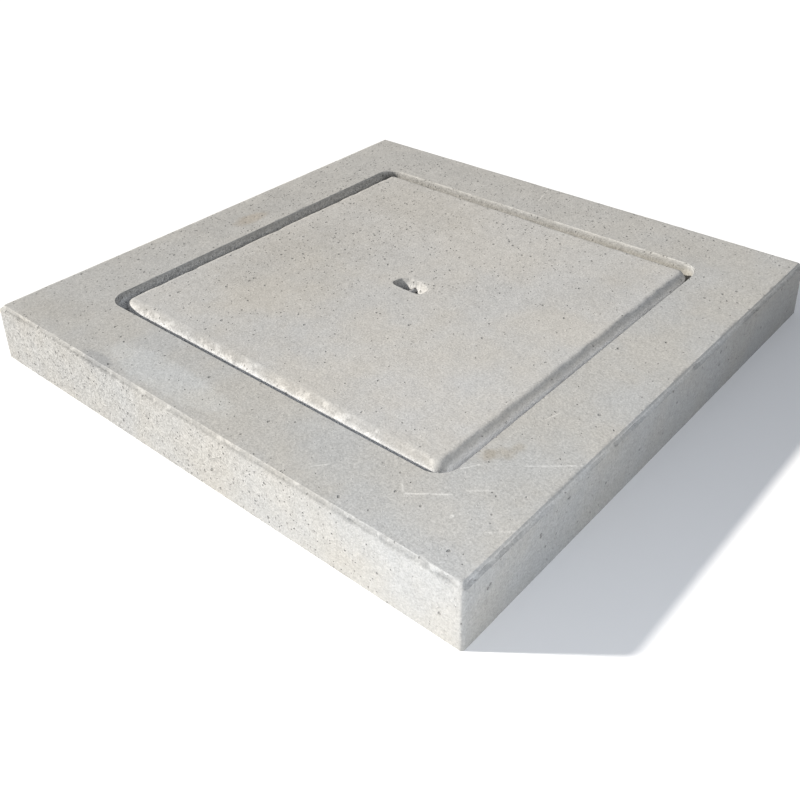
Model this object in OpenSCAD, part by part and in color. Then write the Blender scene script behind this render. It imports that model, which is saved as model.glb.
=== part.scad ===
// Precast concrete manhole cover: a square frame, the loose square lid that lies in it,
// and the steel bars cast into both.
// Millimetres. Origin: centre of the underside. X and Y run along the sides, +Z is up.

/* [Lid] */
// Side of the lid across its top face
lid_side = 423; // [340:1:520]
// Thickness of the lid
lid_thickness = 36; // [32:1:50]
// How far each side of the lid leans in from top to underside
lid_lean = 1.5; // [0:0.5:4]
// Rounding of the lid's top edge
lid_arris = 8; // [3:0.5:12]
// Rounding of the lid's lower edge
lid_lower_arris = 2; // [1:0.5:4]
// Rounding of the lid's corners, seen from above
lid_corner = 9; // [8:1:30]
// Where the loose lid lies along X, from the middle of its recess
lid_rest_x = 0; // [-3:0.1:3]
// Where the loose lid lies along Y, from the middle of its recess
lid_rest_y = 1.7; // [-3:0.1:3]
// How far the loose lid lies turned in its recess, in degrees
lid_turn = -0.4; // [-0.6:0.1:0.6]

/* [Frame] */
// Gap round the lid at the top when the lid is centred
lid_gap = 8.5; // [8:0.5:20]
// How far the lid's top lies below the frame's top
lid_drop = 1.9; // [0:0.1:6]
// Width of the frame's top face beside the recess
frame_band = 80; // [62:1:120]
// Width of the ledge that carries the lid, from the recess's upper edge
ledge_width = 30; // [25:1:50]
// Thickness of the ledge
ledge_thickness = 24; // [20:1:40]
// How far each outer side leans out from top to base
frame_flare = 3; // [0:0.5:12]
// Rounding of the frame's outer top edge
frame_arris = 5; // [2:0.5:10]
// Rounding of the frame's outer corners, seen from above
frame_corner = 3; // [2:1:30]
// How far the recess walls lean in towards the ledge
recess_lean = 2; // [0:0.5:4]
// Rounding of the recess corners, seen from above
recess_corner = 21; // [12:1:40]
// How far the walls of the shaft opening lean out towards the base
opening_lean = 2; // [0:0.5:4]
// Rounding of the shaft opening's corners, seen from above
opening_corner = 15; // [8:1:30]
// How far the mould's core stood off centre along X
core_offset_x = -0.7; // [-3:0.1:3]
// How far the mould's core stood off centre along Y
core_offset_y = -0.6; // [-3:0.1:3]

/* [Lifting pocket] */
// Length of the pocket, along X
pocket_length = 39; // [30:1:48]
// Width of the pocket, along Y
pocket_width = 21; // [14:1:24]
// Depth of the pocket
pocket_depth = 26; // [22:1:30]
// Middle of the pocket along X, from the middle of the lid
pocket_x = 1.5; // [-4:0.5:4]
// Middle of the pocket along Y, from the middle of the lid
pocket_y = -2.5; // [-6:0.5:6]
// Diameter of the bar that a lifting hook takes hold of
lifting_bar_d = 8; // [6:0.5:10]
// Depth of the lifting bar's upper side below the lid's top
lifting_bar_depth = 6; // [4:0.5:8]
// How far the lifting bar runs past the lid bars that carry it
lifting_bar_overhang = 26; // [10:1:60]

/* [Lid bars] */
// Diameter of the lid's bars
lid_bar_d = 6; // [4:0.5:8]
// Distance from the lid's side to the first bar's axis
lid_bar_edge = 39; // [25:1:60]
// Concrete over the ends of the lid's bars
lid_bar_end_cover = 15; // [8:1:30]

/* [Frame bars] */
// Diameter of the square rings in the frame
ring_d = 6; // [4:0.5:8]
// Bend radius of the rings' corners, to the axis of the bar
ring_bend = 20; // [12:1:30]
// Diameter of the links that hold the rings
link_d = 4; // [3:0.5:5]
// Concrete between the links and the base
base_cover = 6; // [4:0.5:9]
// Concrete between the links and the frame's top
top_cover = 12; // [8:0.5:16]
// Concrete between the links and the outer sides
side_cover = 13; // [8:0.5:18]
// Concrete between the inner top ring and the recess wall
recess_cover = 14; // [8:0.5:18]
// Concrete between the ledge ring and the shaft opening
ledge_cover = 13; // [10:0.5:16]
// Concrete between the links' lower ends and the shaft opening
link_end_cover = 8; // [4:0.5:10]

/* [Fits] */
// Space between bars where they cross
tie_gap = 0.5; // [0.3:0.1:1]
// Space between a bar and the concrete round it
bond_gap = 0.1; // [0.05:0.05:0.1]
// Space between the ledge and the lid's underside
seat_gap = 0.1; // [0.05:0.05:0.3]

/* [Hidden] */
ARRIS_STEPS = 6;      // flats along a rounded edge
CORNER_STEPS = 4;     // flats round a corner, in a quarter turn
LID_BARS = 6;         // bars each way in the lid
LINKS_PER_SIDE = 3;
SIDES = 4;
CUT = 1;              // how far a cut runs past a face
$fn = 48;
concrete = [0.74, 0.73, 0.70];
steel = [0.42, 0.30, 0.24];

lid_base_z = ledge_thickness + seat_gap;
frame_height = lid_base_z + lid_thickness + lid_drop;
recess_half = lid_side / 2 + lid_gap;
frame_half = recess_half + frame_band;
ledge_half = recess_half - recess_lean;
opening_half = recess_half - ledge_width;

lid_x = core_offset_x + lid_rest_x;
lid_y = core_offset_y + lid_rest_y;
lifting_bar_z = lid_thickness - lifting_bar_depth - lifting_bar_d / 2;
lid_bar_upper_z = lifting_bar_z - lifting_bar_d / 2 - tie_gap - lid_bar_d / 2;
lid_bar_lower_z = lid_bar_upper_z - lid_bar_d - tie_gap;
lid_bar_pitch = (lid_side - 2 * lid_bar_edge) / (LID_BARS - 1);
lid_bar_length = lid_side - 2 * lid_lean - 2 * lid_bar_end_cover;
lifting_bar_length = lid_bar_pitch + 2 * lifting_bar_overhang;

link_base_z = base_cover + link_d / 2;
link_top_z = frame_height - top_cover - link_d / 2;
link_outer = frame_half - side_cover - link_d / 2;
link_spacing = (link_d + ring_d) / 2 + tie_gap;
link_bend = link_spacing;
ring_base_z = link_base_z + link_spacing;
ring_top_z = link_top_z - link_spacing;
ring_outer = link_outer - link_spacing;
ring_inner = recess_half + recess_cover + ring_d / 2;
ring_ledge = opening_half + ledge_cover + ring_d / 2;
link_base_inner = opening_half + opening_lean + link_end_cover;
link_top_inner = ring_inner - ring_d / 2;
link_pitch = 2 * opening_half / LINKS_PER_SIDE;

function number_from(name, count) = [for (i = [1:count]) str(name, i)];

// Points of an arc about [x, y]; a radius of 0 gives its centre alone.
function arc(x, y, r, from, to) = r == 0 ? [[x, y]] :
    [for (i = [0:ARRIS_STEPS]) let (a = from + (to - from) * i / ARRIS_STEPS)
        [x + r * cos(a), y + r * sin(a)]];

// One side of a block's section, from its lower edge up to its top edge.
function side_outline(top, base, z0, z1, top_arris, base_arris) =
    let (lean = atan((base - top) / (z1 - z0)))
    concat(
        arc(base - base_arris / tan((90 - lean) / 2), z0 + base_arris, base_arris, -90, lean),
        arc(top - top_arris / tan((90 + lean) / 2), z1 - top_arris, top_arris, lean, 90)
    );

// Half the width of a rounded square, measured along a direction.
function reach(half, corner, direction) =
    (half - corner) * (abs(cos(direction)) + abs(sin(direction))) + corner;

function mirrored(points) = [for (i = [len(points) - 1:-1:0]) [-points[i].x, points[i].y]];

// Square block with leaning sides, rounded corners and rounded edges: the space common to
// bars of its section laid in every direction.
module block(half_top, half_base, corner, z0, z1, top_arris = 0, base_arris = 0) {
    intersection_for(i = [0:2 * CORNER_STEPS - 1]) {
        direction = 90 * i / CORNER_STEPS;
        side = side_outline(reach(half_top, corner, direction), reach(half_base, corner, direction),
            z0, z1, top_arris, base_arris);
        rotate([90, 0, direction])
            linear_extrude(height = 4 * max(half_top, half_base), center = true)
                polygon(concat(side, mirrored(side)));
    }
}

// Round bar along X, centred.
module straight_bar(length, diameter) {
    rotate([0, 90, 0])
        cylinder(h = length, d = diameter, center = true);
}

// Quarter bend of a round bar in the XY plane, about the origin, from angle start.
module bend(radius, diameter, start) {
    rotate([0, 0, start])
        rotate_extrude(angle = 90)
            translate([radius, 0])
                circle(d = diameter);
}

// Bar bent to a closed square ring; grow is the extra radius of the cavity it is cast into.
module ring(half, z, grow = 0) {
    diameter = ring_d + 2 * grow;
    translate([0, 0, z])
        for (side = [0:SIDES - 1])
            rotate([0, 0, 90 * side]) {
                translate([0, -half, 0])
                    straight_bar(2 * (half - ring_bend), diameter);
                translate([half - ring_bend, half - ring_bend, 0])
                    bend(ring_bend, diameter, 0);
            }
}

// Link number index: a bar that passes under the lower rings, up outside the outer ones
// and back in over the upper ones. Its bends turn about the outer rings.
module link(index, grow = 0) {
    side = floor(index / LINKS_PER_SIDE);
    along = (index % LINKS_PER_SIDE - (LINKS_PER_SIDE - 1) / 2) * link_pitch;
    diameter = link_d + 2 * grow;
    turn_x = link_outer - link_bend;
    base_length = turn_x - link_base_inner + grow;
    top_length = turn_x - link_top_inner + grow;
    rise = link_top_z - link_base_z - 2 * link_bend;
    rotate([0, 0, 90 * side])
        translate([0, along, 0])
            rotate([90, 0, 0]) {
                translate([turn_x - base_length / 2, link_base_z, 0])
                    straight_bar(base_length, diameter);
                translate([turn_x, link_base_z + link_bend, 0])
                    bend(link_bend, diameter, -90);
                translate([link_outer, link_base_z + link_bend + rise / 2, 0])
                    rotate([0, 0, 90])
                        straight_bar(rise, diameter);
                translate([turn_x, link_top_z - link_bend, 0])
                    bend(link_bend, diameter, 0);
                translate([turn_x - top_length / 2, link_top_z, 0])
                    straight_bar(top_length, diameter);
            }
}

// The four rings, each with its own half width and height.
module ring_at_ledge(grow = 0) {
    ring(ring_ledge, ring_base_z, grow);
}

module ring_at_base(grow = 0) {
    ring(ring_outer, ring_base_z, grow);
}

module ring_at_inner_top(grow = 0) {
    ring(ring_inner, ring_top_z, grow);
}

module ring_at_outer_top(grow = 0) {
    ring(ring_outer, ring_top_z, grow);
}

// Puts its children where the lid lies, with z = 0 at the lid's underside.
module at_lid() {
    translate([lid_x, lid_y, lid_base_z])
        rotate([0, 0, lid_turn])
            children();
}

// Lid bar number index along X, in the upper layer.
module lid_bar_along_x(index, grow = 0) {
    at_lid()
        translate([0, (index - (LID_BARS - 1) / 2) * lid_bar_pitch, lid_bar_upper_z])
            straight_bar(lid_bar_length + 2 * grow, lid_bar_d + 2 * grow);
}

// Lid bar number index along Y, in the lower layer.
module lid_bar_along_y(index, grow = 0) {
    at_lid()
        translate([(index - (LID_BARS - 1) / 2) * lid_bar_pitch, 0, lid_bar_lower_z])
            rotate([0, 0, 90])
                straight_bar(lid_bar_length + 2 * grow, lid_bar_d + 2 * grow);
}

// The lifting bar lies across the pocket, on the two middle bars along X.
module lifting_bar_across(grow = 0) {
    at_lid()
        translate([pocket_x, 0, lifting_bar_z])
            rotate([0, 0, 90])
                straight_bar(lifting_bar_length + 2 * grow, lifting_bar_d + 2 * grow);
}

// Round-ended pocket that the lifting bar crosses.
module lifting_pocket() {
    straight = pocket_length - pocket_width;
    height = pocket_depth + CUT;
    at_lid()
        translate([pocket_x, pocket_y, lid_thickness - pocket_depth]) {
            translate([-straight / 2, -pocket_width / 2, 0])
                cube([straight, pocket_width, height]);
            for (end = [-1, 1])
                translate([end * straight / 2, 0, 0])
                    cylinder(h = height, d = pocket_width);
        }
}

module frame_slab() {
    color(concrete)
        difference() {
            block(frame_half, frame_half + frame_flare, frame_corner, 0, frame_height, frame_arris);
            translate([core_offset_x, core_offset_y, 0]) {
                block(recess_half, ledge_half, recess_corner, ledge_thickness, frame_height + CUT);
                block(opening_half, opening_half + opening_lean, opening_corner,
                    -CUT, ledge_thickness + CUT);
            }
            ring_at_ledge(bond_gap);
            ring_at_base(bond_gap);
            ring_at_inner_top(bond_gap);
            ring_at_outer_top(bond_gap);
            for (index = [0:SIDES * LINKS_PER_SIDE - 1])
                link(index, bond_gap);
        }
}

module lid_slab() {
    color(concrete)
        difference() {
            at_lid()
                block(lid_side / 2, lid_side / 2 - lid_lean, lid_corner,
                    0, lid_thickness, lid_arris, lid_lower_arris);
            lifting_pocket();
            lifting_bar_across(bond_gap);
            for (index = [0:LID_BARS - 1]) {
                lid_bar_along_x(index, bond_gap);
                lid_bar_along_y(index, bond_gap);
            }
        }
}

module ring_ledge() {
    color(steel) ring_at_ledge();
}

module ring_base() {
    color(steel) ring_at_base();
}

module ring_inner() {
    color(steel) ring_at_inner_top();
}

module ring_outer() {
    color(steel) ring_at_outer_top();
}

module lifting_bar() {
    color(steel) lifting_bar_across();
}

module frame_link(index) {
    color(steel) link(index);
}

module lid_bar_x(index) {
    color(steel) lid_bar_along_x(index);
}

module lid_bar_y(index) {
    color(steel) lid_bar_along_y(index);
}

frame_slab();
lid_slab();
ring_ledge();
ring_base();
ring_inner();
ring_outer();
lifting_bar();
for (i = [1:SIDES * LINKS_PER_SIDE])
    frame_link(i - 1);
for (i = [1:LID_BARS])
    lid_bar_x(i - 1);
for (i = [1:LID_BARS])
    lid_bar_y(i - 1);
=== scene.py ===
"""Looks of the manhole cover: two cast concrete pieces with worn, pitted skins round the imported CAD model."""
import math

import bpy
import numpy as np
from mathutils import Matrix, Vector


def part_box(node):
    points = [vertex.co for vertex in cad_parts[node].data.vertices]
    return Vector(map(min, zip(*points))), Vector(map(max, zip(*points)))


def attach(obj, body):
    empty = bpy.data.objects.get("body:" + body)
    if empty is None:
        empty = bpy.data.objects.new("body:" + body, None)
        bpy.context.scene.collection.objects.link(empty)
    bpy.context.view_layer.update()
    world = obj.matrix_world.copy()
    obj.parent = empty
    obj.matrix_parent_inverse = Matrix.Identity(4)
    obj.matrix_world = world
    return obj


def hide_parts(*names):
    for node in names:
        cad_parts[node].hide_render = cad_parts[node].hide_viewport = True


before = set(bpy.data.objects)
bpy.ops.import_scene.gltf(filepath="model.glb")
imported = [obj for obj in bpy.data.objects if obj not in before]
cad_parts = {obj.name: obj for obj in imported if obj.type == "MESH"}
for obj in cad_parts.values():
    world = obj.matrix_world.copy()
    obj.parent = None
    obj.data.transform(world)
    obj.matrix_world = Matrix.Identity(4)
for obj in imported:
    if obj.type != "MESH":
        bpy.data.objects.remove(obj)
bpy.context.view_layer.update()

FRAME_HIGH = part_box("frame_slab")[1]
LID_LOW, LID_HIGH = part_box("lid_slab")
MM = 0.001

# The frame's section, from the CAD model.
BASE_HALF = FRAME_HIGH[0]
FLARE = 3 * MM
TOP_HALF = BASE_HALF - FLARE
TOP_Z = FRAME_HIGH[2]
LEDGE_Z = 24 * MM
CORE = np.array([-0.7, -0.6]) * MM
RECESS_HALF = 220 * MM
LEDGE_HALF = 218 * MM
OPENING_HALF = 190 * MM
OPENING_BASE_HALF = 192 * MM
FRAME_ARRIS = 5 * MM
RECESS_ARRIS = 1.2 * MM
LEDGE_ARRIS = 2 * MM
FRAME_CORNER = 3 * MM
RECESS_CORNER = 21 * MM
OPENING_CORNER = 15 * MM

# The lid, which lies a little turned; it is built about its own middle.
LID_MIDDLE = (np.array(LID_LOW) + np.array(LID_HIGH)) / 2
LID_TURN = math.radians(-0.4)
LID_TOP = LID_HIGH[2] - LID_MIDDLE[2]
LID_HALF = 211.5 * MM
LID_BASE_HALF = 210 * MM
LID_ARRIS = 8 * MM
LID_LOWER_ARRIS = 2 * MM
LID_CORNER = 9 * MM
POCKET = np.array([1.5, -2.5]) * MM
POCKET_SPAN = (np.array([-20, 20]) * MM, np.array([-9, 13]) * MM)   # along X and Y, from its middle
POCKET_DEPTH = 26 * MM
POCKET_ROWS = np.array([0.3, 0.8, 1.6, 2.7, 4.1, 5.7, 7.5, 9.5, 12, 15, 18.5, 22, 24.6]) * MM
BAR_RADIUS = 4 * MM
BAR_LENGTH = 120.6 * MM
BAR_DEPTH = 10 * MM       # of the lifting bar's axis, below the lid's top
LARGE_HOLES = ((-3, 36), (0, 37), (7, 22), (9, 24), (-28, -7), (-60, 12))   # on the lid's top, in mm

SKIN = 0.15 * MM          # the concrete skins stay this far inside the CAD solids
FRAME_CELLS = 236         # mesh cells along one side of the frame
LID_CELLS = 140           # mesh cells along one side of the lid
BAR_RINGS = 110           # rings of vertices along the lifting bar
BAR_SIDES = 24
RING = 8                  # corners of an air hole's rim
SHARP = math.radians(38)  # edges that turn more than this are shaded sharp
# Painted shade on the near arrises and painted light on the frame's right arris:
NEAR_PAINTED_SHADE = 0.42          # how much darker the near arrises are drawn
RIGHT_PAINTED_LIGHT = 0.65         # how much lighter the frame's right arris is drawn
chance = np.random.default_rng(20)


# ---------------------------------------------------------------- noise and outlines

NOISE_TABLE = np.random.default_rng(7).uniform(-1, 1, 8192)
NOISE_KEYS = np.array([73856093, 19349663, 83492791])


def lumps(points, size, seed=0):
    """Smooth noise from -1 to 1 at each point, with lumps of about that size."""
    scaled = points / size + 100 + seed * 17.3
    cell = np.floor(scaled).astype(np.int64)
    part = scaled - cell
    part = part * part * (3 - 2 * part)
    total = np.zeros(len(points))
    for corner in range(8):
        step = np.array([corner & 1, corner >> 1 & 1, corner >> 2 & 1])
        key = (cell + step) * NOISE_KEYS
        value = NOISE_TABLE[(key[:, 0] ^ key[:, 1] ^ key[:, 2]) % len(NOISE_TABLE)]
        total += value * np.prod(np.where(step, part, 1 - part), axis=1)
    return total


def rise(points, depth, size, seed):
    """Smooth noise from 0 to twice that depth, with lumps of about that size."""
    return depth * (1 + lumps(points, size, seed))


def trowelled(points):
    """How far a flat, trowelled face lies below the CAD one."""
    return SKIN + rise(points, 0.14 * MM, 45 * MM, 1) + rise(points, 0.07 * MM, 9 * MM, 2)


def smooth(x, low, high):
    """0 at low, 1 at high, and a smooth rise between them."""
    t = np.clip((x - low) / (high - low), 0, 1)
    return t * t * (3 - 2 * t)


def side_steps(cells, crowding=0.5):
    """Places from -1 to 1 along a side, closer together near its ends."""
    even = np.linspace(-1, 1, cells + 1)
    return (1 - crowding) * even + crowding * np.sin(even * math.pi / 2)


def unit_square(cells):
    """Points once round the square from -1 to 1, from its lower left corner."""
    along = side_steps(cells)[:-1]
    one = np.ones(cells)
    return np.concatenate([np.column_stack([along, -one]), np.column_stack([one, along]),
                           np.column_stack([-along, one]), np.column_stack([-one, -along])])


def round_square(unit, half, corner):
    """Points of the unit square, spread to a square of that half width with round corners."""
    half = np.broadcast_to(half, len(unit))
    place = unit * half[:, None]
    past = np.abs(place) - (half - corner)[:, None]
    inside = (past > 0).all(axis=1)
    long = np.maximum(np.hypot(past[:, 0], past[:, 1]), 1e-12)
    pull = np.where(inside, past.max(axis=1) / long, 1)
    bent = np.sign(place) * ((half - corner)[:, None] + past * pull[:, None])
    return np.where(inside[:, None], bent, place)


# ---------------------------------------------------------------- meshes

class Skin:
    """Gathers the vertices, faces and marks of one concrete piece. The marks are three numbers
    from 0 to 1 at each vertex: sand, air hole, and painted edge shading (0.5 plain, above: painted shade,
    below: painted light)."""

    def __init__(self):
        self.places = []
        self.marks = []
        self.faces = []

    def add(self, places, marks):
        """Adds vertices, and gives their numbers."""
        first = len(self.places)
        self.places.extend(map(tuple, places))
        self.marks.extend(map(tuple, np.broadcast_to(marks, (len(places), 3))))
        return np.arange(first, len(self.places))

    def cell(self, corners, hole=0.0):
        """A four-sided face, with an air hole in it whose radius is that share of the cell."""
        if not hole:
            self.faces.append(tuple(int(c) for c in corners))
            return
        a, b, c, d = (np.array(self.places[i]) for i in corners)
        middle = (a + b + c + d) / 4
        right = (b + c - a - d) / 2
        up = (c + d - a - b) / 2
        radius = hole * min(np.linalg.norm(right), np.linalg.norm(up)) / 2
        free = 0.9 - hole
        middle = (middle + right * chance.uniform(-free, free) / 2.4
                  + up * chance.uniform(-free, free) / 2.4)
        right = right / np.linalg.norm(right)
        up = up / np.linalg.norm(up)
        out = np.cross(right, up)
        turn = np.radians(225 + 45 * np.arange(RING))
        slant = chance.uniform(0, math.pi)
        reach = (radius * chance.uniform(0.8, 1.0, RING)
                 * (1 - 0.45 * chance.random() * np.cos(turn - slant) ** 2))
        rim = np.outer(np.cos(turn) * reach, right) + np.outer(np.sin(turn) * reach, up)
        ground = self.marks[corners[0]]
        depth = radius * chance.uniform(0.6, 1.5)
        # The air-hole marks rise towards the hole's floor, where it is drawn darker as painted shade.
        edge = self.add(middle + rim, (ground[0], 0.1, ground[2]))
        wall = self.add(middle + rim * 0.75 - out * depth * 0.65, (ground[0], 0.7, ground[2]))
        floor = self.add([middle - out * depth], (ground[0], 1.0, ground[2]))[0]
        for side in range(4):
            i = 2 * side
            self.faces.append((corners[side], corners[(side + 1) % 4],
                               edge[(i + 2) % RING], edge[i + 1], edge[i]))
        for i in range(RING):
            j = (i + 1) % RING
            self.faces.append((edge[i], edge[j], wall[j], wall[i]))
            self.faces.append((wall[i], wall[j], floor))

    def bridge(self, first, second, holes=None):
        """Cells between two closed loops with as many vertices each."""
        count = len(first)
        for i in range(count):
            j = (i + 1) % count
            self.cell((first[i], first[j], second[j], second[i]), holes[i] if holes is not None else 0)

    def settle(self):
        """Turns and moves a piece that was built about the lid's middle to where the lid lies."""
        places = np.array(self.places)
        c, s = math.cos(LID_TURN), math.sin(LID_TURN)
        self.places = np.column_stack([places[:, 0] * c - places[:, 1] * s + LID_MIDDLE[0],
                                       places[:, 0] * s + places[:, 1] * c + LID_MIDDLE[1],
                                       places[:, 2] + LID_MIDDLE[2]])

    def finish(self, name, material, body, node):
        """Makes the object, which stands in for that node of the CAD model."""
        mesh = bpy.data.meshes.new(name)
        mesh.from_pydata([tuple(map(float, p)) for p in self.places], [],
                         [tuple(int(i) for i in f) for f in self.faces])
        mesh.update()
        marks = mesh.color_attributes.new("marks", "FLOAT_COLOR", "POINT")
        values = np.ones((len(self.places), 4), dtype=np.float32)
        values[:, :3] = np.array(self.marks)
        marks.data.foreach_set("color", values.ravel())
        mesh.polygons.foreach_set("use_smooth", [True] * len(mesh.polygons))
        mesh.set_sharp_from_angle(angle=SHARP)
        mesh.materials.append(material)
        piece = bpy.data.objects.new(name, mesh)
        bpy.context.collection.objects.link(piece)
        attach(piece, body)
        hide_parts(node)
        return piece


def arc(half, z, radius, start, end, steps):
    """Section points (half width, height, outward normal) round an edge, about [half, z]."""
    points = []
    for i in range(steps + 1):
        turn = math.radians(start + (end - start) * i / steps)
        normal = (math.cos(turn), math.sin(turn))
        points.append((half + radius * normal[0], z + radius * normal[1], *normal))
    return points


def inner_arc(half, z, radius, steps):
    """Section points round an edge that faces the opening, from its top down."""
    return [(-h, height, -nh, nz) for h, height, nh, nz in arc(-half, z, radius, 90, 0, steps)]


def line(start, end, steps):
    """Section points between two others, with both ends left out."""
    return [tuple(a + (b - a) * i / steps for a, b in zip(start, end)) for i in range(1, steps)]


def air_holes(places, rate):
    """For each cell a share of its width for an air hole, 0 for most; rate is how many get one."""
    crowd = np.clip(1 + 1.1 * lumps(places, 50 * MM, 3), 0.1, 3)
    picked = chance.random(len(places)) < rate * crowd
    return np.where(picked, 0.25 + 0.6 * chance.random(len(places)) ** 2.2, 0)


# ---------------------------------------------------------------- frame

def frame_section():
    """Closed section of the frame: points (half width, z, normal, corner radius, core shift,
    wear, sand, rate of air holes), from the base up the outer side and round."""
    lean = math.atan2(FLARE, TOP_Z)
    lean_degrees = math.degrees(lean)
    side = (math.cos(lean), math.sin(lean))
    top = (0.0, 1.0)
    run = FRAME_ARRIS / math.tan((math.pi / 2 + lean) / 2)
    arris = arc(TOP_HALF - run, TOP_Z - FRAME_ARRIS, FRAME_ARRIS, lean_degrees, 90, 8)
    recess = inner_arc(RECESS_HALF + RECESS_ARRIS, TOP_Z - RECESS_ARRIS, RECESS_ARRIS, 4)
    ledge_edge = inner_arc(OPENING_HALF + LEDGE_ARRIS, LEDGE_Z - LEDGE_ARRIS, LEDGE_ARRIS, 3)
    base = (BASE_HALF, 0, *side)
    ledge_foot = (LEDGE_HALF, LEDGE_Z, -0.7, 0.7)
    wall_start = (RECESS_HALF, TOP_Z - RECESS_ARRIS, -1, 0)
    wall_end = (LEDGE_HALF, LEDGE_Z, -1, 0)
    opening_foot = (OPENING_BASE_HALF, 0, -1, 0)
    # Each stretch: its points, how much it is worn midway, sand (None: less and less), rate of holes.
    stretches = [
        ([base] + line(base, arris[0], 20), 0, 1.0, 0.10),
        (arris, 1, None, 0.02),
        (line(arris[-1], recess[0], 27), 0, 0.0, 0.03),
        (recess, 0.8, 0.2, 0.01),
        (line(wall_start, wall_end, 13), 0, 0.8, 0.05),
        ([ledge_foot] + line((LEDGE_HALF, LEDGE_Z, *top), ledge_edge[0], 9), 0, 0.2, 0.02),
        (ledge_edge, 0.5, 0.4, 0.0),
        (line(ledge_edge[-1], opening_foot, 8) + [opening_foot], 0, 0.7, 0.03),
        (line((OPENING_BASE_HALF, 0, 0, -1), (BASE_HALF, 0, 0, -1), 26), 0, 0.8, 0.01),
    ]
    section = []
    for points, worn, sand, rate in stretches:
        for index, (half, z, nh, nz) in enumerate(points):
            corner = float(np.interp(half, [OPENING_HALF, RECESS_HALF, TOP_HALF - 5 * MM, TOP_HALF],
                                     [OPENING_CORNER, RECESS_CORNER, 1 * MM, FRAME_CORNER]))
            shift = float(np.interp(half, [RECESS_HALF + 4 * MM, TOP_HALF - 12 * MM], [1, 0]))
            place = index / max(len(points) - 1, 1)
            wear = worn * math.sin(math.pi * place)
            grit = 1 - place ** 0.8 if sand is None else sand
            section.append((half, z, nh, nz, corner, shift, wear, grit, rate))
    return section


def side_shares(flat, half):
    """Two shares at each place of a square loop: 1 on its near side, and 1 on its right side."""
    near = smooth(-flat[:, 1], half - 9 * MM, half - 3 * MM)
    right = smooth(flat[:, 0], half - 9 * MM, half - 3 * MM)
    return near * (1 - right), right * (1 - near)


def chips(count, length, deep, around):
    """How deep an edge is chipped at each place round it; length is half a chip's, in places."""
    loss = np.zeros(around)
    place = np.arange(around)
    for _ in range(count):
        at = chance.integers(around)
        half_length = chance.uniform(*length)
        gap = np.abs(place - at)
        gap = np.minimum(gap, around - gap) / half_length
        loss = np.maximum(loss, chance.uniform(*deep) * np.clip(1 - gap * gap, 0, 1))
    return loss


def build_frame(material):
    skin = Skin()
    unit = unit_square(FRAME_CELLS)
    around = len(unit)
    outer_loss = chips(70, (1.5, 6), (0.3 * MM, 1.6 * MM), around)
    inner_loss = chips(60, (1.2, 4), (0.2 * MM, 1.0 * MM), around)
    loops = []
    for half, z, nh, nz, corner, shift, wear, sand, rate in frame_section():
        plan = round_square(unit, half, corner)
        flat = np.column_stack([plan + shift * CORE, np.full(around, z)])
        sink = trowelled(flat)
        near, right = side_shares(flat, half)
        if half > TOP_HALF - 20 * MM:     # the outer side and its arris
            wave = rise(flat, 0.55 * MM, 20 * MM, 4) + rise(flat, 0.4 * MM, 7 * MM, 5)
            wave = wave + 0.7 * MM * np.maximum(near, right)
            sink = sink + wear * (wave + outer_loss * (1 + 0.5 * lumps(flat, 5 * MM, 6)))
            # Painted shade on the near arris and painted light on the right arris, kept in the marks.
            tint = NEAR_PAINTED_SHADE * near * smooth(nz, 0.05, 0.6) * (1 - smooth(nz, 0.99, 1))
            tint = tint - RIGHT_PAINTED_LIGHT * right * smooth(nz, 0.05, 0.4) * (1 - smooth(nz, 0.85, 0.97))
        else:
            wave = rise(flat, 0.25 * MM, 12 * MM, 7) + rise(flat, 0.15 * MM, 4 * MM, 8)
            wave = wave + 1.5 * MM * near + 1.0 * MM * right
            sink = sink + wear * (wave + inner_loss)
            # Painted light: the recess rim is drawn lighter on its near and right sides.
            tint = -wear * (0.25 * near + 0.5 * right)
        if nz < -0.5:                     # the underside
            sink = sink + rise(flat, 0.5 * MM, 14 * MM, 9) * smooth(BASE_HALF - half, 0, 20 * MM)
        plan = round_square(unit, half - nh * sink, corner)
        height = np.clip(z - nz * sink, 0, TOP_Z)
        places = np.column_stack([plan + shift * CORE, height])
        marks = np.column_stack([np.full(around, sand), np.zeros(around), 0.5 + 0.5 * tint])
        crowd = 1 - 0.6 * smooth(places[:, 0] - places[:, 1], 0, 350 * MM) * (places[:, 1] > -290 * MM)
        loops.append((skin.add(places, marks), air_holes(places, rate * crowd)))
    for k, (loop, holes) in enumerate(loops):
        skin.bridge(loop, loops[(k + 1) % len(loops)][0], holes)
    return skin.finish("frame_concrete", material, "frame", "frame_slab")


# ---------------------------------------------------------------- lid

def lid_section():
    """Section of the lid's edge, from its flat top round to its flat underside: rows of
    ((half width, z, normal), wear, sand, rate of air holes)."""
    lean = -math.atan2(LID_HALF - LID_BASE_HALF, 2 * LID_TOP)
    top_run = LID_ARRIS / math.tan((math.pi / 2 + lean) / 2)
    low_run = LID_LOWER_ARRIS / math.tan((math.pi / 2 - lean) / 2)
    upper = arc(LID_HALF - top_run, LID_TOP - LID_ARRIS, LID_ARRIS, 90, math.degrees(lean), 9)
    lower = arc(LID_BASE_HALF - low_run, LID_LOWER_ARRIS - LID_TOP, LID_LOWER_ARRIS,
                math.degrees(lean), -90, 4)
    wall = line(upper[-1], lower[0], 9)
    rows = [(p, math.sin(math.pi * i / 9), 0.1 + 0.06 * i, 0.02) for i, p in enumerate(upper)]
    rows += [(p, 0, 0.8, 0.05) for p in wall]
    rows += [(p, 0.4, 0.6, 0.0) for p in lower]
    return rows


def pocket_rim(turn):
    """Distance from the pocket's middle to its broken rim: straight on the near side and bowed
    on the far one."""
    far = np.sin(turn) > 0
    across = np.where(far, 12.4, 8.6) * MM
    power = np.where(far, 2.3, 4.0)
    along = 19.5 * MM
    return (np.abs(np.cos(turn) / along) ** power + np.abs(np.sin(turn) / across) ** power) ** (-1 / power)


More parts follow.
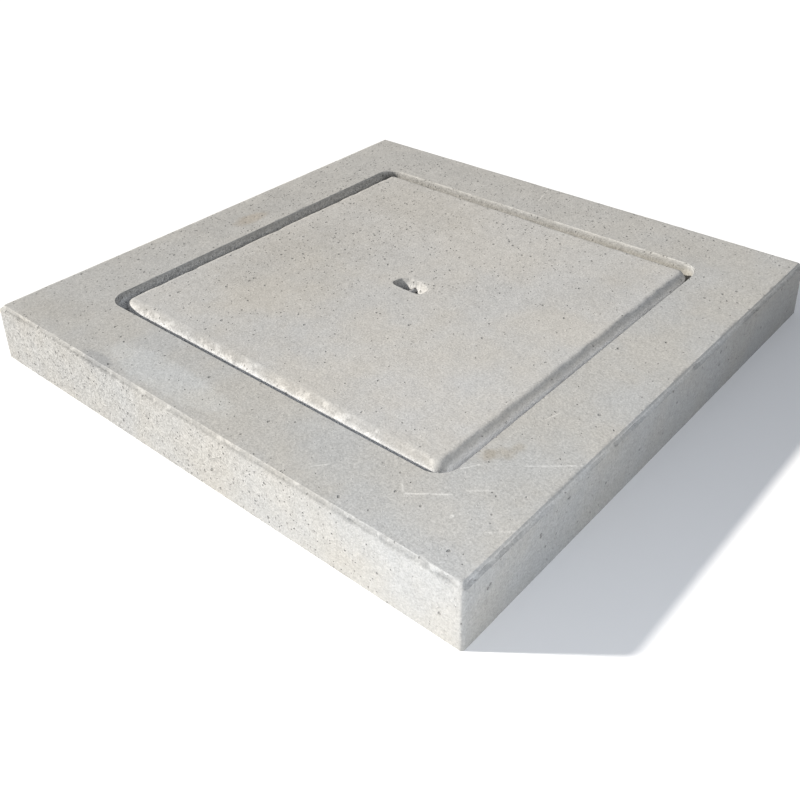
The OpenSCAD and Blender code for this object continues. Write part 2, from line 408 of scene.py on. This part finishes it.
def build_pocket(skin, outline):
    """The rough lifting pocket, from the loop of the top's vertices round it down to its floor."""
    start = np.array([skin.places[i] for i in outline])
    fine = np.empty((2 * len(start), 3))
    fine[0::2] = start
    fine[1::2] = (start + np.roll(start, -1, axis=0)) / 2
    offset = fine[:, :2] - POCKET
    outer = np.hypot(offset[:, 0], offset[:, 1])
    turn = np.arctan2(offset[:, 1], offset[:, 0])
    ray = np.column_stack([np.cos(turn), np.sin(turn)])
    sides = np.column_stack([ray * 14 * MM, np.zeros(len(ray))])
    rim = pocket_rim(turn) + 0.6 * MM * lumps(sides, 5 * MM, 11) + 0.3 * MM * lumps(sides, 2 * MM, 10)
    open_side = np.maximum(smooth(np.sin(turn), 0.15, 0.7), smooth(np.cos(turn), 0.5, 0.95))
    slope = 6.0 * MM * smooth(np.sin(turn), 0.1, 0.8) + 4.0 * MM * smooth(np.cos(turn), 0.5, 1)
    lip = (0.4 + 1.3 * open_side) * MM
    previous = None
    for share in (0.75, 0.4, 0.12):
        reach = rim + lip + (outer - rim) * share
        places = np.column_stack([POCKET + ray * reach[:, None], np.full(len(ray), LID_TOP)])
        places[:, 2] -= trowelled(places)
        loop = skin.add(places, (0.1, 0, 0.5))
        if previous is None:
            for i, corner in enumerate(outline):
                after = outline[(i + 1) % len(outline)]
                last = (2 * i + 2) % len(loop)
                skin.faces.append((corner, loop[2 * i + 1], loop[2 * i]))
                skin.faces.append((corner, after, loop[2 * i + 1]))
                skin.faces.append((after, loop[last], loop[2 * i + 1]))
        else:
            skin.bridge(previous, loop)
        previous = loop
    for depth in POCKET_ROWS:
        flat = np.column_stack([POCKET + ray * rim[:, None], np.full(len(ray), LID_TOP - depth)])
        broken = 0.45 * MM * lumps(flat, 1.6 * MM, 12) + 0.5 * MM * lumps(flat, 3.2 * MM, 16)
        broken = broken + 0.5 * MM * lumps(flat, 6.5 * MM, 13)
        reach = (rim + lip * (1 - smooth(depth, -0.5 * MM, 2 * MM)) - slope * smooth(depth, 0, 10 * MM)
                 - 1.5 * MM * smooth(depth, 4 * MM, POCKET_DEPTH) + broken * smooth(depth, 0, 1.5 * MM))
        if depth > 23 * MM:
            reach = reach * 0.8
        places = np.column_stack([POCKET + ray * reach[:, None], flat[:, 2]])
        uneven = 0.3 * MM * lumps(flat, 4 * MM, 14) * smooth(depth, 0, 2 * MM)
        places[:, 2] += uneven - trowelled(places)
        loop = skin.add(places, (0.6, 0, 0.5))
        skin.bridge(previous, loop)
        previous = loop
    for pull in (0.7, 0.65, 0.5):
        places = np.array([skin.places[i] for i in previous])
        pulled = POCKET + (places[:, :2] - POCKET) * pull
        flat = np.column_stack([pulled, np.full(len(ray), LID_TOP - POCKET_DEPTH + 0.8 * MM)])
        flat[:, 2] += 0.4 * MM * lumps(flat, 4 * MM, 15)
        # The pocket's floor carries an air-hole mark of 0.2: painted shade, a little darker.
        loop = skin.add(flat, (0.8, 0.2, 0.5))
        skin.bridge(previous, loop)
        previous = loop
    skin.faces.append(tuple(previous))


def build_lid(material):
    skin = Skin()
    steps = side_steps(LID_CELLS, 0.25)
    count = LID_CELLS + 1
    square = np.array([(x, y) for y in steps for x in steps])
    out = np.abs(square).max(axis=1)
    unit = square / np.maximum(out, 1e-9)[:, None]

    def sheet(half, corner, height, sink, sand):
        """A flat grid of vertices with round corners: their numbers, and where they are."""
        plan = round_square(unit, half, corner) * out[:, None]
        flat = np.column_stack([plan, np.full(len(plan), height)])
        flat[:, 2] -= math.copysign(1, height) * sink(flat)
        return skin.add(flat, (sand, 0, 0.5)).reshape(count, count), flat

    rows = lid_section()
    top_half, low_half = rows[0][0][0], rows[-1][0][0]
    top_corner = LID_CORNER - LID_ARRIS
    top, top_places = sheet(top_half, top_corner, LID_TOP, trowelled, 0.0)
    low, _ = sheet(low_half, LID_CORNER - LID_LOWER_ARRIS, -LID_TOP,
                   lambda flat: SKIN + rise(flat, 0.3 * MM, 16 * MM, 30), 0.8)

    # The cells of the top from i0 to i1 along X and from j0 to j1 along Y are left to the pocket.
    margin = np.array([-5, 5]) * MM
    i0, i1 = np.searchsorted(steps * top_half, POCKET[0] + POCKET_SPAN[0] + margin)
    j0, j1 = np.searchsorted(steps * top_half, POCKET[1] + POCKET_SPAN[1] + margin)
    spots = top_places.reshape(count, count, 3)[:-1, :-1].reshape(-1, 3)
    crowd = 1.5 - 1.2 * smooth(spots[:, 0] - spots[:, 1], -250 * MM, 250 * MM)
    holes = air_holes(spots, 0.035 * crowd).reshape(LID_CELLS, LID_CELLS)
    for x, y in LARGE_HOLES:
        i, j = np.searchsorted(steps * top_half, np.array([x, y]) * MM)
        holes[j, i] = 0.8
    for j in range(LID_CELLS):
        for i in range(LID_CELLS):
            skin.cell((low[j, i], low[j + 1, i], low[j + 1, i + 1], low[j, i + 1]))
            if i0 <= i < i1 and j0 <= j < j1:
                continue
            inner = 0 < i < LID_CELLS - 1 and 0 < j < LID_CELLS - 1
            skin.cell((top[j, i], top[j, i + 1], top[j + 1, i + 1], top[j + 1, i]),
                      holes[j, i] if inner else 0)
    outline = ([top[j0, i] for i in range(i0, i1)] + [top[j, i1] for j in range(j0, j1)]
               + [top[j1, i] for i in range(i1, i0, -1)] + [top[j, i0] for j in range(j1, j0, -1)])
    build_pocket(skin, outline)

    def border(grid):
        return np.concatenate([grid[0, :-1], grid[:-1, -1], grid[-1, :0:-1], grid[:0:-1, 0]])

    edge_unit = unit[border(np.arange(count * count).reshape(count, count))]
    around = len(edge_unit)
    loss = chips(60, (1.2, 4), (0.2 * MM, 1.1 * MM), around)
    previous, previous_holes = border(top), None
    for (half, z, nh, nz), wear, sand, rate in rows[1:-1]:
        corner = LID_CORNER
        if z > 0:
            corner = float(np.interp(half, [top_half, LID_HALF], [top_corner, LID_CORNER]))
        flat = np.column_stack([round_square(edge_unit, half, corner), np.full(around, z)])
        wave = rise(flat, 0.3 * MM, 20 * MM, 21) + rise(flat, 0.2 * MM, 6 * MM, 22)
        sink = trowelled(flat) + wear * (wave + loss)
        places = np.column_stack([round_square(edge_unit, half - nh * sink, corner), z - nz * sink])
        near, _ = side_shares(flat, half)
        # Painted shade: the lid's near arris is drawn darker.
        tint = NEAR_PAINTED_SHADE * near * math.sqrt(wear) if z > 0 else 0 * near
        marks = np.column_stack([np.full(around, sand), np.zeros(around), 0.5 + 0.5 * tint])
        loop = skin.add(places, marks)
        skin.bridge(loop, previous, previous_holes)
        previous, previous_holes = loop, air_holes(places, rate)
    skin.bridge(border(low), previous)
    skin.settle()
    return skin.finish("lid_concrete", material, "lid", "lid_slab")


# ---------------------------------------------------------------- lifting bar

def build_lifting_bar(material):
    """Round bar with rust scale and lumps of cement paste, a little inside the CAD bar."""
    skin = Skin()
    turn = 2 * math.pi * np.arange(BAR_SIDES) / BAR_SIDES
    ray = np.column_stack([np.cos(turn), np.sin(turn)])
    loops = []
    for y in np.linspace(-BAR_LENGTH / 2, BAR_LENGTH / 2, BAR_RINGS):
        flat = np.column_stack([ray[:, 0] * BAR_RADIUS, np.full(BAR_SIDES, y), ray[:, 1] * BAR_RADIUS])
        reach = BAR_RADIUS - rise(flat, 0.25 * MM, 3 * MM, 40) - rise(flat, 0.1 * MM, 1.2 * MM, 41)
        places = np.column_stack([POCKET[0] + ray[:, 0] * reach, flat[:, 1],
                                  LID_TOP - BAR_DEPTH + ray[:, 1] * reach])
        loops.append(skin.add(places, (0, 0, 0.5)))
    for first, second in zip(loops, loops[1:]):
        skin.bridge(second, first)
    skin.faces.append(tuple(loops[0]))
    skin.faces.append(tuple(loops[-1][::-1]))
    skin.settle()
    return skin.finish("lifting_bar_steel", material, "lid", "lifting_bar")


# ---------------------------------------------------------------- materials

MIX_FIRST, MIX_SECOND, MIX_COLOUR = 6, 7, 2   # sockets of a Mix node when it mixes colours


class Graph:
    """Short names for the nodes of one material. Sockets and plain numbers both work as inputs."""

    def __init__(self, name):
        self.material = bpy.data.materials.new(name)
        self.material.use_nodes = True
        self.tree = self.material.node_tree
        self.shader = self.tree.nodes["Principled BSDF"]

    def node(self, kind, **settings):
        made = self.tree.nodes.new(kind)
        for key, value in settings.items():
            setattr(made, key, value)
        return made

    def put(self, socket, value):
        if isinstance(value, bpy.types.NodeSocket):
            self.tree.links.new(value, socket)
        else:
            socket.default_value = value

    def math(self, operation, *values, clamp=False):
        made = self.node("ShaderNodeMath", operation=operation, use_clamp=clamp)
        for socket, value in zip(made.inputs, values):
            self.put(socket, value)
        return made.outputs[0]

    def vector(self, operation, *values):
        made = self.node("ShaderNodeVectorMath", operation=operation)
        for socket, value in zip(made.inputs, values):
            self.put(socket, value)
        return made.outputs[1 if operation in ("LENGTH", "DOT_PRODUCT", "DISTANCE") else 0]

    def scaled(self, vector, factor):
        made = self.node("ShaderNodeVectorMath", operation="SCALE")
        self.put(made.inputs[0], vector)
        self.put(made.inputs["Scale"], factor)
        return made.outputs[0]

    def coords(self):
        return self.node("ShaderNodeTexCoord").outputs["Object"]

    def noise(self, at, size, detail=2.0, roughness=0.5, distortion=0.0, output=0):
        """Noise from 0 to 1 whose lumps are about that size, in metres."""
        made = self.node("ShaderNodeTexNoise")
        self.put(made.inputs["Vector"], at)
        made.inputs["Scale"].default_value = 0.5 / size
        made.inputs["Detail"].default_value = detail
        made.inputs["Roughness"].default_value = roughness
        made.inputs["Distortion"].default_value = distortion
        return made.outputs[output]

    def specks(self, at, size, radius, share):
        """1 inside small round specks: one in each lump of that size, for that share of lumps."""
        made = self.node("ShaderNodeTexVoronoi")
        self.put(made.inputs["Vector"], at)
        made.inputs["Scale"].default_value = 1 / size
        picked = self.math("GREATER_THAN", share, self.node_rgb(made.outputs["Color"])[0])
        near = self.ramp(made.outputs["Distance"], radius / size, radius / size * 0.55)
        return self.math("MULTIPLY", picked, near)

    def node_rgb(self, colour):
        made = self.node("ShaderNodeSeparateColor")
        self.put(made.inputs[0], colour)
        return made.outputs

    def node_xyz(self, vector):
        made = self.node("ShaderNodeSeparateXYZ")
        self.put(made.inputs[0], vector)
        return made.outputs

    def ramp(self, value, low, high):
        """0 at low and 1 at high, smoothly; low may be the larger."""
        made = self.node("ShaderNodeMapRange", interpolation_type="SMOOTHSTEP", clamp=True)
        self.put(made.inputs["Value"], value)
        self.put(made.inputs["From Min"], min(low, high))
        self.put(made.inputs["From Max"], max(low, high))
        made.inputs["To Min"].default_value = 0 if low < high else 1
        made.inputs["To Max"].default_value = 1 if low < high else 0
        return made.outputs[0]

    def around(self, value, middle, swing):
        """middle + swing * (value - 0.5)"""
        return self.math("MULTIPLY_ADD", self.math("SUBTRACT", value, 0.5), swing, middle)

    def scale_by(self, light, mask, share):
        """light * (1 + share * mask)"""
        return self.math("MULTIPLY", light, self.math("MULTIPLY_ADD", mask, share, 1))

    def blend(self, factor, first, second, mode="MIX"):
        made = self.node("ShaderNodeMix", data_type="RGBA", blend_type=mode)
        self.put(made.inputs[0], factor)
        self.put(made.inputs[MIX_FIRST], first)
        self.put(made.inputs[MIX_SECOND], second)
        return made.outputs[MIX_COLOUR]

    def product(self, *values):
        total = values[0]
        for value in values[1:]:
            total = self.math("MULTIPLY", total, value)
        return total

    def bump(self, height, distance, strength=1.0):
        made = self.node("ShaderNodeBump")
        made.inputs["Strength"].default_value = strength
        made.inputs["Distance"].default_value = distance
        self.put(made.inputs["Height"], height)
        return made.outputs[0]


def patch(g, at, centre, size, warp, soft=0.7):
    """A soft-edged oval patch on the object, 1 in its middle."""
    offset = g.vector("SUBTRACT", at, Vector(centre))
    offset = g.vector("DIVIDE", offset, Vector(size))
    far = g.math("ADD", g.vector("LENGTH", offset), g.around(warp, 0, 0.9))
    return g.ramp(far, 1.05, 1.05 - soft)


def scratch(g, at, start, end, width, breaks):
    """A thin straight mark between two points of the top face."""
    start, end = Vector((*start, 0)), Vector((*end, 0))
    along = (end - start).normalized()
    across = Vector((-along.y, along.x, 0))
    offset = g.vector("SUBTRACT", at, start)
    run = g.vector("DOT_PRODUCT", offset, along)
    off = g.math("ABSOLUTE", g.vector("DOT_PRODUCT", offset, across))
    length = (end - start).length
    middle = g.math("ABSOLUTE", g.math("SUBTRACT", run, length / 2))
    return g.product(g.ramp(off, width, width * 0.2),
                     g.ramp(middle, length / 2, length / 2 - 3 * MM), breaks)


def toned(tone, *factors):
    """A tone times a factor for each of its colours."""
    return (*(value * factor for value, factor in zip(tone, factors)), 1)


FAR_GAP = 208 * MM        # Y of the gap's far side: beyond it only the sunlit far wall is in the gap


def concrete(name, tone, gap, patches_and_painted_light=(), scratches=(), stains=()):
    """Cast concrete: mottled grey paste on the faces, sandy on the sides.
    tone is its colour; gap is (top, side, lift): below that height and nearer the middle than
    that, painted light in the gap's shade makes the paste paler by the lift. Patches are (centre,
    size, colour factor, softness), and some are painted light; scratches are (start, end, width,
    lightness) and stains are darker clouds given as (centre, size, depth)."""
    gap_top, gap_side, gap_painted_light = gap
    g = Graph(name)
    at = g.coords()
    attribute = g.node("ShaderNodeAttribute", attribute_name="marks")
    sand, hole, edge_tint = g.node_rgb(attribute.outputs["Color"])[:3]
    x, y, z = g.node_xyz(at)
    across = g.node_xyz(g.vector("ABSOLUTE", at))
    from_middle = g.math("MAXIMUM", across[0], across[1])
    clouds = g.noise(at, 55 * MM, 4, 0.6)
    blots = g.noise(at, 15 * MM, 4, 0.62, 0.5)
    mottle = g.noise(at, 6 * MM, 4, 0.65, 0.4)
    curdle = g.noise(at, 2.4 * MM, 3, 0.65, 0.3)
    grain = g.noise(at, 1.0 * MM, 3, 0.8)
    swept = g.vector("MULTIPLY", at, Vector((1.0, 0.3, 1.0)))
    streaks = g.noise(swept, 7 * MM, 5, 0.68, 3.0)
    feather = g.math("ADD", g.around(mottle, 0, 1.1), g.around(streaks, 0, 0.5))
    sandy = g.ramp(g.math("ADD", sand, feather), 0.15, 0.8)

    # The photograph's left corner is the most swirled, and its left side has the coarsest sand.
    left = g.ramp(g.vector("DOT_PRODUCT", at, Vector((-0.7, 0.7, 0))), -160 * MM, 240 * MM)
    painted_shade_to_back = g.ramp(y, -200 * MM, 300 * MM)
    coarse = g.product(sandy, g.ramp(x, 260 * MM, -260 * MM))

    def vary(value, plain, more, by):
        """Swing of a noise round zero: plain, and more where by is 1."""
        return g.product(g.math("SUBTRACT", value, 0.5), g.math("MULTIPLY_ADD", by, more, plain))

    light = g.math("ADD", g.around(clouds, 1, 0.13), vary(blots, 0.10, 0.10, left))
    light = g.math("ADD", light, vary(mottle, 0.13, 0.10, left))
    light = g.math("ADD", light, vary(curdle, 0.32, 0.45, coarse))
    light = g.math("ADD", light, vary(grain, 1.05, 1.2, coarse))
    light = g.math("ADD", light, vary(streaks, 0.10, 0.22, left))
    # Painted shade: the coarse sandy sides, towards the left, are drawn darker.
    light = g.scale_by(light, coarse, -0.08)
    # Painted shade: the sandy sides are drawn darker towards the back.
    light = g.scale_by(light, g.product(sandy, painted_shade_to_back), -0.16)
    # Painted edge shading from the marks: the near arrises darker, with lighter lumps in them, and the right
    # arris and recess rim lighter.
    lumpy = g.product(g.ramp(edge_tint, 0.5, 0.7), g.ramp(g.noise(at, 6 * MM, 3, 0.6), 0.53, 0.62))
    light = g.math("MULTIPLY", light, g.math("MULTIPLY_ADD", edge_tint, -0.92, 1.46))
    light = g.math("MULTIPLY_ADD", lumpy, 0.26, light)

    speckled = g.math("MAXIMUM", left, coarse)
    bend = g.vector("SUBTRACT", g.noise(at, 1.6 * MM, output="Color"), Vector((0.5, 0.5, 0.5)))
    bent = g.vector("ADD", at, g.scaled(bend, 2.2 * MM))
    pinholes = g.specks(bent, 4.6 * MM, 1.0 * MM, g.math("MULTIPLY_ADD", speckled, 0.50, 0.07))
    pits = g.specks(g.vector("ADD", bent, Vector((0.4, 0.1, 0.8))), 10 * MM, 1.8 * MM,
                    g.math("MULTIPLY_ADD", speckled, 0.50, 0.08))
    pale_grit = g.specks(g.vector("ADD", bent, Vector((0.2, 0.9, 0.4))), 3.6 * MM, 0.8 * MM,
                         g.math("MULTIPLY_ADD", sandy, 0.25, 0.12))
    fine_holes = g.math("MAXIMUM", pinholes, pits)
    # Painted shade: the pinholes and pits, which are only bumps, are drawn darker.
    light = g.scale_by(light, fine_holes, -0.38)
    light = g.math("MULTIPLY_ADD", pale_grit, 0.12, light)
    # Painted shade: darker towards the floor of each air hole, and a little on the lifting pocket's floor.
    light = g.scale_by(light, hole, -0.4)
    light = g.math("MAXIMUM", light, 0.15)

    # In the gap round the lid the paste is drawn paler, as painted light in the gap's shade, and cooler, as a
    # painted bluish shade; the sunlit far wall is drawn yellower.
    deep = g.product(g.ramp(z, gap_top, gap_top - 8 * MM),
                     g.ramp(from_middle, gap_side, gap_side - 2 * MM))
    shade = g.product(deep, g.ramp(y, FAR_GAP, FAR_GAP - 8 * MM),
                      g.math("MULTIPLY_ADD", g.ramp(from_middle, 60 * MM, 120 * MM), 0.6, 0.4))
    far_wall = g.product(deep, g.ramp(y, FAR_GAP, FAR_GAP + 6 * MM))
    light = g.scale_by(light, shade, gap_painted_light)

    warmth = g.ramp(g.noise(at, 38 * MM, 3, 0.5), 0.3, 0.7)
    colour = g.blend(warmth, toned(tone, 0.985, 1.0, 1.02), toned(tone, 1.02, 1.0, 0.965))
    colour = g.blend(shade, colour, toned(tone, 0.975, 1.0, 1.05))
    colour = g.blend(far_wall, colour, toned(tone, 0.99, 0.95, 0.86))
    colour = g.blend(g.product(left, 0.8), colour, toned(tone, 1.01, 0.99, 0.96))
    for centre, size, factor, soft in patches_and_painted_light:
        mask = patch(g, at, centre, size, mottle, soft)
        colour = g.blend(mask, colour, (*factor, 1), "MULTIPLY")
    for centre, size, depth in stains:
        mask = g.product(patch(g, at, centre, size, blots, 0.9), g.ramp(streaks, 0.3, 0.62))
        light = g.scale_by(light, mask, -depth)
    breaks = g.ramp(curdle, 0.25, 0.5)
    for start, end, width, lightness in scratches:
        light = g.math("MULTIPLY_ADD", scratch(g, at, start, end, width, breaks), lightness, light)
    g.put(g.shader.inputs["Base Color"], g.scaled(colour, light))
    g.put(g.shader.inputs["Roughness"], g.around(mottle, 0.86, 0.12))
    g.shader.inputs["Specular IOR Level"].default_value = 0.3

    relief = g.product(grain, g.math("MULTIPLY_ADD", sandy, 0.6, 0.3))
    relief = g.math("ADD", relief, g.product(curdle, 0.5))
    relief = g.math("MULTIPLY_ADD", fine_holes, -1.2, relief)
    relief = g.math("MULTIPLY_ADD", pale_grit, 0.3, relief)
    g.put(g.shader.inputs["Normal"], g.bump(relief, 0.7 * MM))
    return g.material


def rusty_steel(name, cement):
    """Mild steel bar: dark mill scale, orange rust and a film of cement paste."""
    g = Graph(name)
    at = g.coords()
    blotch = g.noise(at, 6 * MM, 5, 0.65)
    fine = g.noise(at, 1.1 * MM, 3, 0.7)
    scale = g.blend(g.ramp(fine, 0.35, 0.7), (0.060, 0.055, 0.055, 1), (0.12, 0.11, 0.105, 1))
    rust = g.blend(g.ramp(fine, 0.3, 0.7), (0.13, 0.085, 0.060, 1), (0.22, 0.15, 0.105, 1))
    steel = g.blend(g.ramp(blotch, 0.38, 0.6), scale, rust)
    film = g.ramp(g.noise(at, 3 * MM, 4, 0.6), 0.62 - 0.3 * cement, 0.72 - 0.3 * cement)
    paste = g.blend(fine, (0.20, 0.20, 0.21, 1), (0.40, 0.40, 0.40, 1))
    g.put(g.shader.inputs["Base Color"], g.blend(film, steel, paste))
    g.put(g.shader.inputs["Roughness"], g.around(blotch, 0.72, 0.35))
    bare = g.math("SUBTRACT", 1, film)
    g.put(g.shader.inputs["Metallic"], g.product(g.ramp(blotch, 0.5, 0.38), bare, 0.55))
    g.put(g.shader.inputs["Normal"], g.bump(g.math("ADD", fine, blotch), 0.25 * MM))
    return g.material


FRAME_TONE = (0.386, 0.385, 0.378)
LID_TONE = (0.424, 0.420, 0.411)
# Painted light in the gap round the lid: top, side, and how much paler.
FRAME_GAP_PAINTED_LIGHT = (TOP_Z - 2 * MM, RECESS_HALF + 2.5 * MM, 0.9)
LID_GAP_PAINTED_LIGHT = (LID_HIGH[2] - 2.5 * MM, 2 * LID_HALF, 0.95)


def mm(*values):
    return tuple(value * MM for value in values)


def lay_materials():
    """The concrete of the frame and the lid, with the photograph's marks and some painted light,
    and the bars' steel. Only the embedded bars keep their CAD shape, so they take theirs here."""
    top = TOP_Z / MM
    frame_patches_and_painted_light = [
        (mm(229, -174, top), mm(9, 11, 30), (0.84, 0.79, 0.72), 0.9),
        (mm(238, -164, top), mm(13, 10, 30), (0.88, 0.84, 0.78), 0.9),
        (mm(243, -152, top), mm(8, 9, 30), (0.88, 0.85, 0.80), 0.9),
        (mm(-250, 0, top), mm(14, 30, 30), (0.95, 0.89, 0.82), 0.7),
        # Painted light: the near band of the frame's top is drawn lighter and bluer.
        (mm(-60, -270, top), mm(96, 22, 30), (1.11, 1.125, 1.14), 0.35),
        (mm(-136, -292, top), mm(24, 9, 20), (0.84, 0.85, 0.87), 0.5),
        (mm(250, -249, top), mm(2.2, 3, 10), (1.32, 1.32, 1.32), 0.7),
        (mm(243, -262, top), mm(3, 1.5, 10), (1.2, 1.2, 1.2), 0.7),
        # Painted light: the frame's top round the front corner is drawn lighter and bluer.
        (mm(250, -260, top), mm(90, 80, 90), (1.03, 1.04, 1.06), 0.9),
    ]
    frame_stains = [
        (mm(-262, 10, top), mm(40, 120, 30), 0.12),
        (mm(-150, 270, top), mm(150, 30, 30), 0.07),
        (mm(-240, -262, top), mm(60, 34, 30), 0.08),
    ]
    frame_scratches = [
        (mm(206, -253), mm(237, -229), 1.5 * MM, 0.34),
        (mm(197, -243), mm(206, -253), 1.4 * MM, 0.26),
        (mm(221, -204), mm(232, -187), 1.4 * MM, 0.26),
        (mm(258, -169), mm(297, -136), 1.5 * MM, 0.26),
        (mm(240, -221), mm(257, -207), 1.4 * MM, 0.18),
        (mm(273, -253), mm(297, -230), 1.5 * MM, 0.18),
        (mm(238, -109), mm(243, -91), 0.9 * MM, 0.3),
        (mm(140, -262), mm(128, -276), 1.0 * MM, 0.3),
        (mm(-10, 253), mm(-20, 291), 1.2 * MM, 0.3),
    ]
    frame_concrete = concrete("frame_cast_concrete", FRAME_TONE, FRAME_GAP_PAINTED_LIGHT,
                              frame_patches_and_painted_light, frame_scratches, frame_stains)
    lid_top = LID_HIGH[2] / MM
    lid_patches_and_painted_light = [
        (mm(-120, -60, lid_top), mm(110, 150, 60), (0.96, 0.95, 0.93), 0.8),
        (mm(-120, 150, lid_top), mm(120, 60, 60), (0.96, 0.95, 0.93), 0.8),
        # Painted light: the lid's top towards the front corner is drawn lighter and bluer.
        (mm(150, -150, lid_top), mm(130, 90, 60), (1.03, 1.03, 1.035), 0.9),
    ]
    lid_stains = [
        (mm(-165, 0, lid_top), mm(50, 170, 30), 0.08),
        (mm(160, 130, lid_top), mm(50, 90, 30), 0.06),
    ]
    lid_concrete = concrete("lid_cast_concrete", LID_TONE, LID_GAP_PAINTED_LIGHT, lid_patches_and_painted_light, (), lid_stains)
    bar_steel = rusty_steel("embedded_bar_steel", 1.0)
    for name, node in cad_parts.items():
        if name not in ("frame_slab", "lid_slab", "lifting_bar"):
            for place in node.material_slots:
                place.material = bar_steel
    return frame_concrete, lid_concrete, rusty_steel("lifting_bar_rusty_steel", 0.6)


# ---------------------------------------------------------------- floor, light and camera

TO_SUN = (-1.4, -1.0, 0.82)
CAMERA_ANGLES = (41.41, 36.30, -1.28)            # azimuth, elevation and roll, in degrees
CAMERA_PLACE = (0.54921, -0.64302, 0.5316)
SENSOR_WIDTH, CAMERA_LENS = 36, 41.23            # in mm


def add_floor():
    """A pale plane, in place of the photograph's white surround."""
    mesh = bpy.data.meshes.new("floor")
    half = 40
    corners = [(-half, -half, 0), (half, -half, 0), (half, half, 0), (-half, half, 0)]
    mesh.from_pydata(corners, [], [(0, 1, 2, 3)])
    floor = bpy.data.objects.new("floor", mesh)
    bpy.context.collection.objects.link(floor)
    material = bpy.data.materials.new("pale_floor")
    material.use_nodes = True
    shader = material.node_tree.nodes["Principled BSDF"]
    shader.inputs["Base Color"].default_value = (0.88, 0.885, 0.90, 1)
    shader.inputs["Roughness"].default_value = 0.9
    mesh.materials.append(material)


def add_light():
    """A soft low sun from the left, a fill panel and an even sky."""
    to_sun = Vector(TO_SUN).normalized()
    sun = bpy.data.lights.new("sun", "SUN")
    sun.energy = 6.1
    sun.angle = math.radians(2.8)
    sun.color = (1.0, 0.955, 0.885)
    lamp = bpy.data.objects.new("sun", sun)
    lamp.rotation_euler = to_sun.to_track_quat("Z", "Y").to_euler()
    bpy.context.collection.objects.link(lamp)

    # A soft panel on the shaded side lifts the front corner.
    panel = bpy.data.lights.new("fill", "AREA")
    panel.size = 0.4
    panel.energy = 3.2
    panel.color = (0.93, 0.965, 1.0)
    lamp = bpy.data.objects.new("fill", panel)
    lamp.location = (0.85, -0.64, 0.36)
    aim = Vector((0.3, -0.3, 0.03)) - lamp.location
    lamp.rotation_euler = aim.to_track_quat("-Z", "Y").to_euler()
    bpy.context.collection.objects.link(lamp)

    world = bpy.data.worlds.new("sky")
    world.use_nodes = True
    sky = world.node_tree.nodes["Background"]
    sky.inputs["Color"].default_value = (0.93, 0.965, 1.02, 1)
    sky.inputs["Strength"].default_value = 0.42
    bpy.context.scene.world = world
    bpy.context.scene.view_settings.view_transform = "Standard"


def add_camera():
    """Camera at the photograph's viewing angle, place and lens."""
    azimuth, elevation, roll = (math.radians(angle) for angle in CAMERA_ANGLES)
    ahead = Vector((-math.sin(azimuth) * math.cos(elevation), math.cos(azimuth) * math.cos(elevation),
                    -math.sin(elevation)))
    right = Vector((math.cos(azimuth), math.sin(azimuth), 0))
    up = right.cross(ahead)
    turned_right = math.cos(roll) * right + math.sin(roll) * up
    turned_up = -math.sin(roll) * right + math.cos(roll) * up
    lens = bpy.data.cameras.new("camera")
    lens.sensor_width = SENSOR_WIDTH
    lens.lens = CAMERA_LENS
    lens.clip_start = 0.01
    camera = bpy.data.objects.new("camera", lens)
    turn = Matrix((turned_right, turned_up, -ahead)).transposed()
    camera.matrix_world = Matrix.Translation(CAMERA_PLACE) @ turn.to_4x4()
    bpy.context.collection.objects.link(camera)
    bpy.context.scene.camera = camera


frame_concrete, lid_concrete, bar_steel = lay_materials()
build_frame(frame_concrete)
build_lid(lid_concrete)
build_lifting_bar(bar_steel)
add_floor()
add_light()
add_camera()
